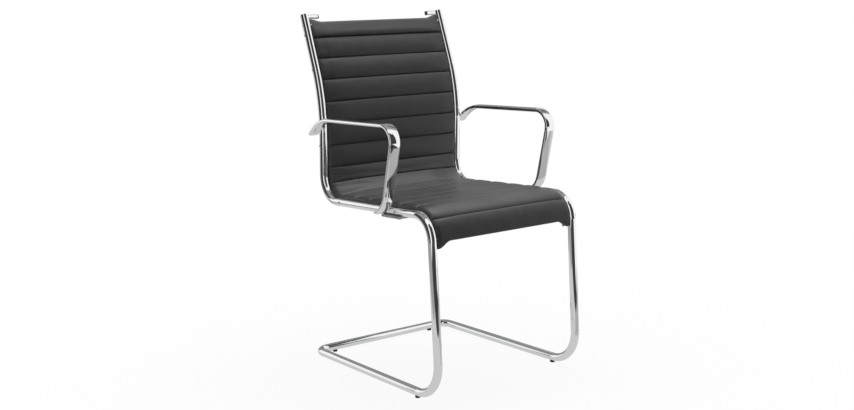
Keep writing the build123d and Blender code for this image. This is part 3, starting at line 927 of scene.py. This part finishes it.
def plain_layer(name, edge, front, rear, puff=0.0):
    """A thin layer behind the covers, puffed between the seams on its rear face."""
    start = TOP_EDGE + HEM_LENGTH + LAYER_END_GAP
    end = FRONT_EDGE - HEM_LENGTH - LAYER_END_GAP
    stops = [start, *[seam for seam in [*BACK_SEAMS, *SEAT_SEAMS] if start < seam < end], end]
    columns = sling_columns(edge, LAYER_PITCH)
    rings, ribs = [], []
    for station, share, _ in band_rows(stops, LAYER_STEPS):
        rib = max(1 - (2 * share - 1) ** 2, 0.0) ** PUFF_POWER
        ring = []
        for x in columns:
            puffed = puff * rib * smooth((edge - abs(x)) / PUFF_EASE)
            dents = uneven(x / PUFF_WIDTH, station / PUFF_LENGTH, LINING_LAYER)
            puffed += PUFF_UNEVENNESS * puff * rib * dents
            ring.append((x, *beside_path(station, rear - puffed)))
            ribs.append(rib)
        for x in (edge, -edge):
            ring.append((x, *beside_path(station, front)))
            ribs.append(PLAIN_RIB)
        rings.append(ring)
    return ringed_mesh(name, rings, len(columns), ribs)


def stitch_row(seam, lift, sizes):
    """One row of stitches across the sling, in the valley of a seam."""
    count = int(2 * (SLING_EDGE - STITCH_INSET) / sizes.stitch_pitch)
    start = -sizes.stitch_pitch * (count - 1) / 2
    height = sizes.seam_height + lift + THREAD_LIFT * sizes.thread_radius
    leave_alone()
    bpy.ops.mesh.primitive_uv_sphere_add(
        segments=6, ring_count=5, radius=1.0, location=(start, *beside_path(seam, height)),
        rotation=(0.0, radians(90), 0.0),
        scale=(sizes.thread_radius, sizes.thread_radius, sizes.stitch_length / 2))
    row = bpy.context.object
    bpy.ops.object.transform_apply(location=True, rotation=True, scale=True)
    bpy.ops.object.shade_smooth()
    repeat = row.modifiers.new("repeat", "ARRAY")
    repeat.count = count
    repeat.use_relative_offset = False
    repeat.use_constant_offset = True
    repeat.constant_offset_displace = (sizes.stitch_pitch, 0.0, 0.0)
    apply_all(row)
    outwards = Vector((0.0, *beside_path(seam, 1.0))) - Vector((0.0, *beside_path(seam, 0.0)))
    for vertex in row.data.vertices:
        vertex.co += outwards * bridge_lift(vertex.co.x, seam, sizes)
    return row


class CHAIR_OT_leather_covers(bpy.types.Operator):
    """Back and seat covers of ribbed black leather"""

    bl_idname = "chair.leather_covers"
    bl_label = "Leather Covers"

    def execute(self, context):
        sizes = context.scene.chair_sling
        material = leather_finish("black_leather", context.scene.chair_finishes)
        back = Cover(
            [TOP_EDGE, *BACK_SEAMS, WAIST_SEAM], back_pads(sizes), sizes.back_rib, sizes.back_fullness,
            flattening=sizes.pad_flattening, is_back=True)
        seat = Cover([*SEAT_SEAMS, FRONT_EDGE], seat_pads(sizes), sizes.seat_rib, sizes.seat_fullness)
        settle(leather_cover("back_leather", back, sizes), "black_leather", material, "back_cover", fill=0.5)
        settle(leather_cover("seat_leather", seat, sizes), "black_leather", material, "seat_cover", fill=0.5)
        return {"FINISHED"}


class CHAIR_OT_sling_lining(bpy.types.Operator):
    """Leather lining behind the sling, and the woven core inside it"""

    bl_idname = "chair.sling_lining"
    bl_label = "Lining and Core"

    def execute(self, context):
        finishes = context.scene.chair_finishes
        _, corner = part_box("rear_lining")
        lining = plain_layer("rear_lining_leather", corner.x, LINING_FRONT, LINING_REAR, LINING_PUFF)
        settle(lining, "black_leather", leather_finish("lining_leather", finishes), "rear_lining", fill=0.2)
        _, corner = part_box("sling_webbing")
        core = plain_layer("webbing_core", corner.x, CORE_FRONT, CORE_REAR)
        settle(core, "webbing", webbing_finish(finishes), "sling_webbing", fill=0.0)
        return {"FINISHED"}


class CHAIR_OT_seam_stitching(bpy.types.Operator):
    """Rows of stitches in the valleys of the sling's seams"""

    bl_idname = "chair.seam_stitching"
    bl_label = "Seam Stitching"

    def execute(self, context):
        sizes = context.scene.chair_sling
        lifts = back_pads(sizes)[1:-1] + seat_pads(sizes)[:-1]
        rows = [stitch_row(seam, lift, sizes) for seam, lift in zip([*BACK_SEAMS, *SEAT_SEAMS], lifts)]
        leave_alone()
        for row in rows:
            row.select_set(True)
        bpy.context.view_layer.objects.active = rows[0]
        bpy.ops.object.join()
        stitching = bpy.context.object
        stitching.name = "seam_stitching"
        settle(stitching, "black_leather", thread_finish(context.scene.chair_finishes))
        return {"FINISHED"}


# Chrome, steel and plastic

def chrome_finish(finishes):
    """Polished chrome with faint smudges and dust."""
    finish = Finish.named("polished_chrome")
    smudge = finish.noise(scale=14.0, detail=5.0)
    dust = finish.noise(scale=420.0, detail=2.0)
    dulled = [CHROME_SMUDGE_SHARE * part for part in finishes.chrome]
    return finish.surface(
        Base_Color=smudge.ramp(0.3, 0.8).between(opaque(finishes.chrome), opaque(dulled)),
        Roughness=finishes.chrome_roughness + smudge.ramp(0.45, 0.75) * 0.05 + dust.ramp(0.55, 0.8) * 0.03,
        Metallic=1.0)


def satin_finish():
    """Satin powder coat with a fine orange peel, painted pale as a stand-in for the white floor's
    reflection.
    """
    finish = Finish.named("satin_coat")
    peel = finish.noise(scale=700.0, detail=2.0)
    wear = finish.noise(scale=40.0, detail=4.0).ramp(0.5, 0.8)
    # Painted reflection: the coat is painted pale grey, for the white floor that the plate reflects
    return finish.surface(
        Base_Color=wear.between(opaque(PLATE_PAINTED_REFLECTION), opaque(PLATE_WORN_PAINTED_REFLECTION)),
        Roughness=0.34 + wear * 0.12,
        Normal=finish.bump(peel, distance=0.00006, strength=0.4))


def steel_finish(finishes):
    """Zinc-plated steel with fine turning marks."""
    finish = Finish.named("plated_steel")
    marks = finish.noise(scale=900.0, detail=2.0)
    stain = finish.noise(scale=60.0, detail=3.0).ramp(0.35, 0.75)
    stained = [STEEL_STAIN_SHARE * part for part in finishes.steel]
    return finish.surface(
        Base_Color=stain.between(opaque(finishes.steel), opaque(stained)),
        Roughness=0.22 + marks * 0.12,
        Metallic=1.0,
        Normal=finish.bump(marks, distance=0.00005, strength=0.4))


def plastic_finish(finishes):
    """Moulded black plastic with a spark-eroded texture and scuffs."""
    finish = Finish.named("moulded_plastic")
    texture = finish.noise(scale=1500.0, detail=2.0)
    scuff = finish.noise(scale=90.0, detail=5.0).ramp(0.55, 0.72)
    return finish.surface(
        Base_Color=scuff.between(opaque(finishes.plastic), opaque(PLASTIC_SCUFF)),
        Roughness=0.42 + scuff * 0.25,
        Normal=finish.bump(texture, distance=0.00008, strength=0.5))


class CHAIR_OT_frame_finish(bpy.types.Operator):
    """Chrome, satin coat, steel and plastic on the frame's own solids"""

    bl_idname = "chair.frame_finish"
    bl_label = "Frame Finish"

    def execute(self, context):
        finishes = context.scene.chair_finishes
        chrome, satin = chrome_finish(finishes), satin_finish()
        steel, plastic = steel_finish(finishes), plastic_finish(finishes)
        for name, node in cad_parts.items():
            if node.hide_render:
                continue
            if name.endswith(("_tube", "_cap", "_bracket", "_armrest")):
                material = chrome
            elif name.endswith("_plate"):
                material = satin
            elif name.endswith(("_glide", "tab_plug")):
                material = plastic
            else:
                material = steel
            node.data.materials.clear()
            node.data.materials.append(material)
        return {"FINISHED"}


# Studio

def plain_plane(name, size, location, facing, material):
    """A stage plane with one material."""
    leave_alone()
    bpy.ops.mesh.primitive_plane_add(size=1.0, location=location, rotation=from_degrees(facing))
    plane = bpy.context.object
    plane.name = name
    plane.scale = (*size, 1.0)
    bpy.ops.object.transform_apply(location=False, rotation=False, scale=True)
    plane.data.materials.append(material)
    return plane


def seen_ray(finish):
    """1 where the camera, a reflection or glass sees the surface, 0 where it lights something."""
    camera, glossy, transmission = [
        finish.node("LightPath", output=ray)
        for ray in ("Is Camera Ray", "Is Glossy Ray", "Is Transmission Ray")]
    return (camera + glossy + transmission).ramp(0.0, 1.0)


def floor_finish():
    """Pale floor that reads as white but keeps the chair's soft shadow."""
    finish = Finish.named("pale_floor")
    paint = finish.node("BsdfDiffuse", {}, {"Color": opaque(FLOOR_PAINT)})
    white = finish.node("Emission", {}, {"Color": opaque(WHITE), "Strength": 1.0})
    away = finish.node("VectorMath", {"operation": "LENGTH"}, {0: finish.place()}, "Value")
    whitened = seen_ray(finish) * away.ramp(*SHADOW_REACH, *FLOOR_WHITENESS)
    return finish.ended("OutputMaterial", finish.node("MixShader", {}, {0: whitened, 1: paint, 2: white}))


def reflected_card(name, size, location, facing, grey):
    """A card round the chair that only reflections see, for the chrome's tones and dark bands."""
    finish = Finish.named(name + "_paint")
    glow = finish.node("Emission", {}, {"Color": opaque((grey, grey, grey)), "Strength": 1.0})
    card = plain_plane(name, size, location, facing, finish.ended("OutputMaterial", glow))
    card.visible_camera = False
    card.visible_diffuse = False
    card.visible_shadow = False
    card.visible_transmission = False


def soft_lamp(name, size, location, facing, power):
    """A large soft lamp."""
    lamp = bpy.data.lights.new(name, "AREA")
    lamp.shape = "RECTANGLE"
    lamp.size, lamp.size_y = size
    lamp.energy = power
    holder = bpy.data.objects.new(name, lamp)
    holder.location = location
    holder.rotation_euler = from_degrees(facing)
    bpy.context.scene.collection.objects.link(holder)
    return holder


def white_room(fill):
    """A world that is seen as white and lights the chair by the fill alone."""
    room = Finish(bpy.data.worlds.new("white_room"))
    strength = seen_ray(room) * (1 - fill) + fill
    glow = room.node("Background", {}, {"Color": opaque(WHITE), "Strength": strength})
    return room.ended("OutputWorld", glow)


def photo_camera(studio):
    """The camera, set up as the photograph was taken."""
    camera = bpy.data.cameras.new("photo_camera")
    camera.lens = studio.lens
    camera.sensor_width = SENSOR_WIDTH
    camera.shift_y = CAMERA_SHIFT
    viewer = bpy.data.objects.new("photo_camera", camera)
    turn, rise = studio.azimuth, studio.elevation
    away = Vector((sin(turn) * cos(rise), -cos(turn) * cos(rise), sin(rise)))
    viewer.location = CAMERA_TARGET + away * studio.distance
    viewer.rotation_euler = away.to_track_quat("Z", "Y").to_matrix().to_4x4().to_euler()
    viewer.rotation_euler.rotate_axis("Z", studio.roll)
    bpy.context.scene.collection.objects.link(viewer)
    return viewer


class CHAIR_OT_studio(bpy.types.Operator):
    """White floor and room, soft lamps, cards for the chrome, and the camera"""

    bl_idname = "chair.studio"
    bl_label = "Studio"

    def execute(self, context):
        scene = context.scene
        studio = scene.chair_studio
        scene.view_settings.view_transform = "Standard"
        plain_plane(
            "floor", size=(14.0, 14.0), location=(0.0, 0.0, 0.0), facing=LEVEL, material=floor_finish())
        scene.world = white_room(studio.fill)
        soft_lamp(
            "overhead", size=(3.2, 2.0), location=(1.2, 0.4, 4.0), facing=LEVEL,
            power=studio.overhead_power)
        front = soft_lamp(
            "front_fill", size=(3.0, 2.0), location=(-0.4, -3.4, 1.6), facing=(75, 0, -7),
            power=studio.front_power)
        front.visible_glossy = False
        for card in CARDS:
            reflected_card(*card)
        scene.camera = photo_camera(studio)
        return {"FINISHED"}


class CHAIR_PT_dressing(bpy.types.Panel):
    """Steps of the chair's dressing"""

    bl_label = "Visitor Chair"
    bl_idname = "CHAIR_PT_dressing"
    bl_space_type = "VIEW_3D"
    bl_region_type = "UI"
    bl_category = "Chair"

    def draw(self, context):
        layout = self.layout
        for step in STEPS:
            layout.operator(step.bl_idname)
        for group in GROUPS:
            settings = getattr(context.scene, group)
            column = layout.column()
            for name in settings.bl_rna.properties.keys():
                if name not in ("rna_type", "name"):
                    column.prop(settings, name)


STEPS = [
    CHAIR_OT_leather_covers,
    CHAIR_OT_sling_lining,
    CHAIR_OT_seam_stitching,
    CHAIR_OT_frame_finish,
    CHAIR_OT_studio,
]
GROUPS = {"chair_sling": ChairSlingSizes, "chair_finishes": ChairFinishes, "chair_studio": ChairStudio}


def register():
    for name, group in GROUPS.items():
        bpy.utils.register_class(group)
        setattr(bpy.types.Scene, name, bpy.props.PointerProperty(type=group))
    for part in [*STEPS, CHAIR_PT_dressing]:
        bpy.utils.register_class(part)


def unregister():
    for part in reversed([*STEPS, CHAIR_PT_dressing]):
        bpy.utils.unregister_class(part)
    for name, group in GROUPS.items():
        delattr(bpy.types.Scene, name)
        bpy.utils.unregister_class(group)


def main():
    register()
    bpy.ops.chair.leather_covers()
    bpy.ops.chair.sling_lining()
    bpy.ops.chair.seam_stitching()
    bpy.ops.chair.frame_finish()
    bpy.ops.chair.studio()


if __name__ == "__main__":
    main()
